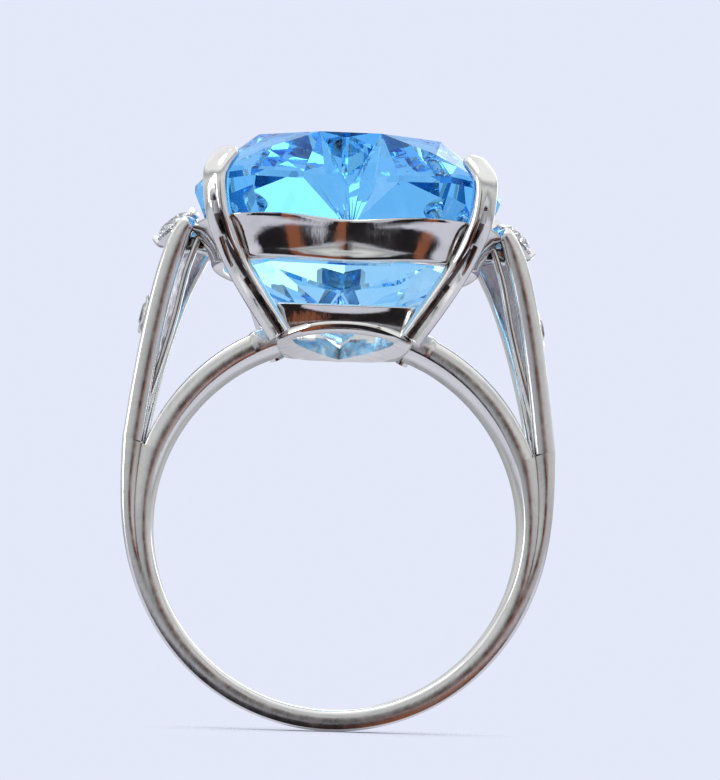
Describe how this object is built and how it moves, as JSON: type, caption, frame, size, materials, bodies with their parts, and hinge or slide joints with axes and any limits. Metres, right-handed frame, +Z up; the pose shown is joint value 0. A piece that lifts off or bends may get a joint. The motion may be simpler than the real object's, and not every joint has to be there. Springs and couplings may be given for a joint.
{
  "type": "cocktail ring",
  "caption": "White-metal cocktail ring: a large heart-cut blue stone in a claw head on a split shank with cathedral shoulders and small white stones.",
  "frame": {"origin": "centre of the finger hole", "axes": "+Z up through the table of the centre stone, +Y along the finger away from the cleft of the heart, +X across the ring to the viewer's right"},
  "size_m": [0.0202, 0.0139, 0.0276],
  "materials": {
    "white_metal": "polished with fine wear scratches",
    "blue_stone": "faceted and polished",
    "white_stone": "faceted and polished"
  },
  "bodies": {
    "root": {"shank": "white_metal", "centre_stone": "blue_stone", "upper_gallery_rail": "white_metal", "head_base": "white_metal", "point_claw": "white_metal", "front_claw_left": "white_metal", "rear_claw_left": "white_metal", "inner_arch_left": "white_metal", "upper_small_stone_left": "white_stone", "upper_collet_left": "white_metal", "lower_small_stone_left": "white_stone", "lower_collet_left": "white_metal", "front_shoulder_rail_left": "white_metal", "rear_shoulder_rail_left": "white_metal", "shoulder_plate_left": "white_metal", "shoulder_rib_left": "white_metal", "shoulder_bridge_left": "white_metal", "front_claw_right": "white_metal", "rear_claw_right": "white_metal", "inner_arch_right": "white_metal", "upper_small_stone_right": "white_stone", "upper_collet_right": "white_metal", "lower_small_stone_right": "white_stone", "lower_collet_right": "white_metal", "front_shoulder_rail_right": "white_metal", "rear_shoulder_rail_right": "white_metal", "shoulder_plate_right": "white_metal", "shoulder_rib_right": "white_metal", "shoulder_bridge_right": "white_metal"}
  },
  "joints": []
}
